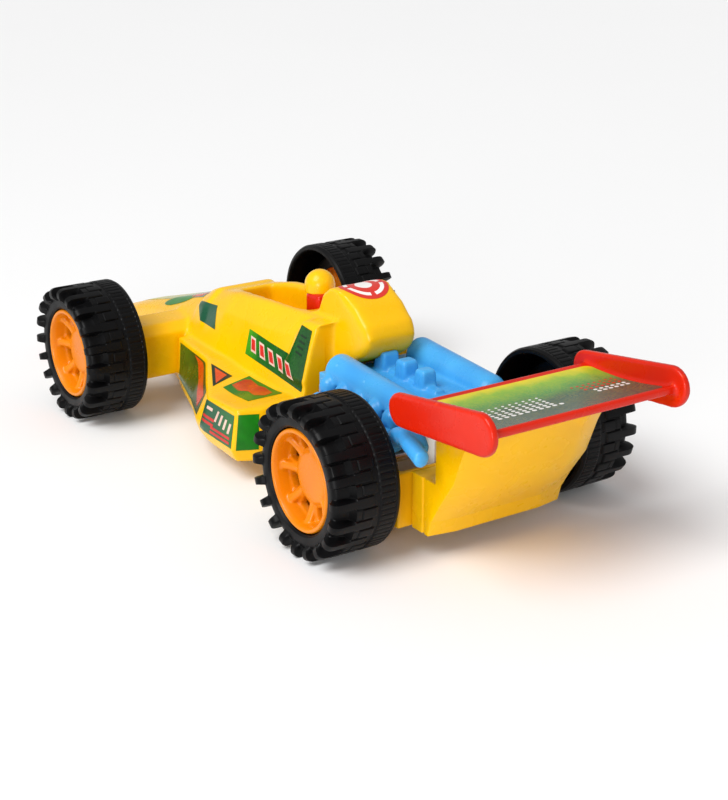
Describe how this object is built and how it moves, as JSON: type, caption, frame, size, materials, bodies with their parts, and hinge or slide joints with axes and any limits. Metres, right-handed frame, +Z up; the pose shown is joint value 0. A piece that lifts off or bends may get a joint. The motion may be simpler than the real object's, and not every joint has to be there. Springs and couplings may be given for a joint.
{
  "type": "pull back toy racing car",
  "caption": "Open-wheel toy racing car with a moulded body, lugged tyres, rear wing, open engine and a spring pull back motor on the rear axle.",
  "frame": {"origin": "on the ground under the middle of the car's length and width", "axes": "+Z up, the nose points to -Y, +X is the car's left side"},
  "size_m": [0.1182, 0.26, 0.0574],
  "materials": {
    "yellow_plastic": "glossy moulded plastic",
    "red_plastic": "glossy moulded plastic",
    "blue_plastic": "glossy moulded plastic",
    "orange_plastic": "glossy moulded plastic",
    "black_tyre": "glossy black moulded plastic",
    "white_plastic": "satin acetal",
    "steel": "bright drawn wire"
  },
  "bodies": {
    "body": {"body_shell": "yellow_plastic", "chassis_base": "yellow_plastic", "tail_panel": "yellow_plastic", "driver_helmet": "yellow_plastic", "driver_torso": "red_plastic", "engine_block": "blue_plastic", "exhaust_left": "blue_plastic", "exhaust_right": "blue_plastic", "rear_wing": "red_plastic", "front_wing": "red_plastic", "screw_front": "steel", "screw_middle_left": "steel", "screw_middle_right": "steel", "screw_rear_left": "steel", "screw_rear_right": "steel", "motor_case_left": "white_plastic", "motor_case_right": "white_plastic", "mainspring": "steel", "idler_pin": "steel"},
    "front_wheels": {"front_axle": "steel", "rim_front_left": "orange_plastic", "rim_front_right": "orange_plastic", "tyre_front_left": "black_tyre", "tyre_front_right": "black_tyre"},
    "rear_wheels": {"rear_axle": "steel", "rim_rear_left": "orange_plastic", "rim_rear_right": "orange_plastic", "tyre_rear_left": "black_tyre", "tyre_rear_right": "black_tyre", "drive_gear": "white_plastic"},
    "idler": {"idler_gear": "white_plastic"},
    "spring_drum": {"spring_gear": "white_plastic", "spring_arbor": "steel"}
  },
  "joints": [
    {"name": "front_axle_spin", "type": "hinge", "parent": "body", "child": "front_wheels", "pos_m": [0, -0.0625, 0.0218], "axis": [1, 0, 0], "continuous": true},
    {"name": "rear_axle_spin", "type": "hinge", "parent": "body", "child": "rear_wheels", "pos_m": [0, 0.0695, 0.0218], "axis": [1, 0, 0], "continuous": true},
    {"name": "idler_spin", "type": "hinge", "parent": "body", "child": "idler", "pos_m": [0, 0.05759, 0.0203], "axis": [1, 0, 0], "continuous": true},
    {"name": "spring_drum_spin", "type": "hinge", "parent": "body", "child": "spring_drum", "pos_m": [0, 0.04444, 0.0214], "axis": [1, 0, 0], "continuous": true}
  ],
  "couplings": [
    {"joint": "idler_spin", "follows": "rear_axle_spin", "ratio": -0.42857},
    {"joint": "spring_drum_spin", "follows": "rear_axle_spin", "ratio": 0.16071}
  ]
}
